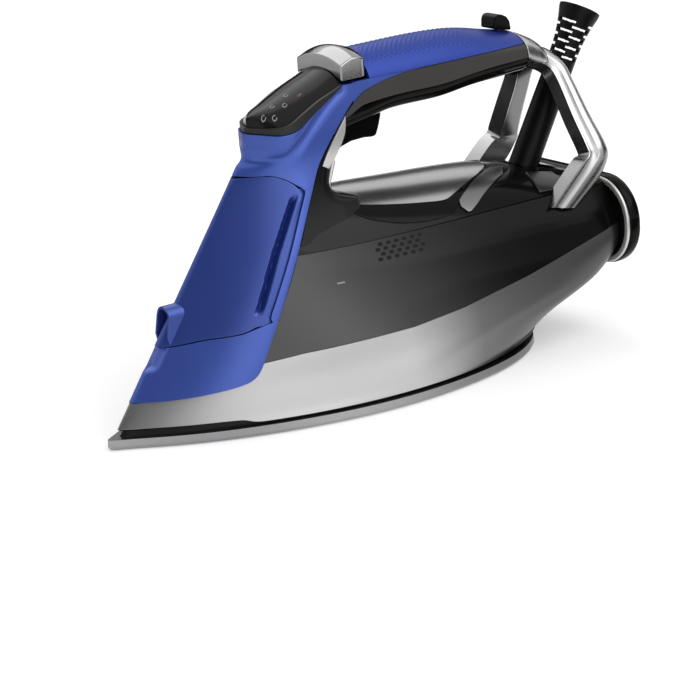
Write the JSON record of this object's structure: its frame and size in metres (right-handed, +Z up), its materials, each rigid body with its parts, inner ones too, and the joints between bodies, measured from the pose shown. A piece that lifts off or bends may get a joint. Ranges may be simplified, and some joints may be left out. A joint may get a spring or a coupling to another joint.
{
  "type": "steam iron",
  "caption": "Household steam iron with a pointed vented sole, smoked water tank, blue front with fill door, arched handle, rear bracket and swivelling cord guard.",
  "frame": {"origin": "middle of the sole's length and width, on the ironing face", "axes": "+X towards the heel, nose towards -X, +Z up from the ironing face"},
  "size_m": [0.3148, 0.112, 0.1715],
  "materials": {
    "sole": "fine brushed",
    "casting": "as cast",
    "steel": "plain",
    "rubber": "matte",
    "inner_plastic": "plain moulded",
    "frame_black": "matte black",
    "skirt_silver": "satin silver",
    "tank_smoke": "smoked clear",
    "gloss_black": "high gloss",
    "blue_shell": "satin metallic blue",
    "blue_grip": "fine pebbled",
    "trim_silver": "satin",
    "bezel_grey": "satin",
    "lens_black": "high gloss",
    "board": "satin",
    "button_silver": "satin silver",
    "grip_grey": "soft matte",
    "bracket_silver": "satin silver",
    "guard_black": "satin"
  },
  "bodies": {
    "base": {"sole_plate": "sole", "heater_casting": "casting", "heating_element": "steel", "chamber_gasket": "rubber", "chamber_cover": "steel", "temperature_sensor": "inner_plastic", "thermal_fuse": "inner_plastic", "base_frame": "frame_black", "sole_screws": "steel", "skirt": "skirt_silver", "water_tank": "tank_smoke", "drip_valve": "inner_plastic", "deck_cover": "gloss_black", "deck_panel": "gloss_black", "front_shell": "blue_shell", "door_hinge_pin": "steel", "fill_funnel": "inner_plastic", "door_seal": "rubber", "column_back": "gloss_black", "column_trim": "trim_silver", "panel_bezel": "bezel_grey", "control_board": "board", "panel_lens": "lens_black", "boost_switch": "inner_plastic", "handle_shell": "blue_grip", "handle_grip": "grip_grey", "handle_under": "gloss_black", "trigger_pin": "steel", "rear_bracket": "bracket_silver", "bracket_screws": "steel", "heel_band": "trim_silver", "heel_ring": "gloss_black", "rear_cover": "frame_black", "rear_screws": "steel", "drum_cradle": "inner_plastic", "terminal_block": "inner_plastic"},
    "fill_door": {"fill_door": "blue_shell"},
    "boost_button": {"boost_button": "button_silver"},
    "steam_trigger": {"steam_trigger": "gloss_black"},
    "slider": {"slider_knob": "bezel_grey", "slider_carriage": "inner_plastic"},
    "cord_swivel": {"cord_drum": "guard_black", "cord_guard": "guard_black"}
  },
  "joints": [
    {"name": "fill_door_hinge", "type": "hinge", "parent": "base", "child": "fill_door", "pos_m": [-0.0414, 0, 0.1154], "axis": [0, 1, 0], "range_deg": [0, 35]},
    {"name": "boost_press", "type": "slide", "parent": "base", "child": "boost_button", "axis": [0, 0, -1], "range_m": [0, 0.0015], "stiffness_N_per_m": 600},
    {"name": "trigger_pull", "type": "hinge", "parent": "base", "child": "steam_trigger", "pos_m": [0.0235, 0, 0.1364], "axis": [0, -1, 0], "range_deg": [0, 9], "stiffness_Nm_per_rad": 0.6},
    {"name": "slider_slide", "type": "slide", "parent": "base", "child": "slider", "axis": [-0.9806, 0, 0.1961], "range_m": [0, 0.014]},
    {"name": "guard_swivel", "type": "hinge", "parent": "base", "child": "cord_swivel", "pos_m": [0.1298, 0, 0.076], "axis": [0, 1, 0], "range_deg": [-6, 22]}
  ]
}
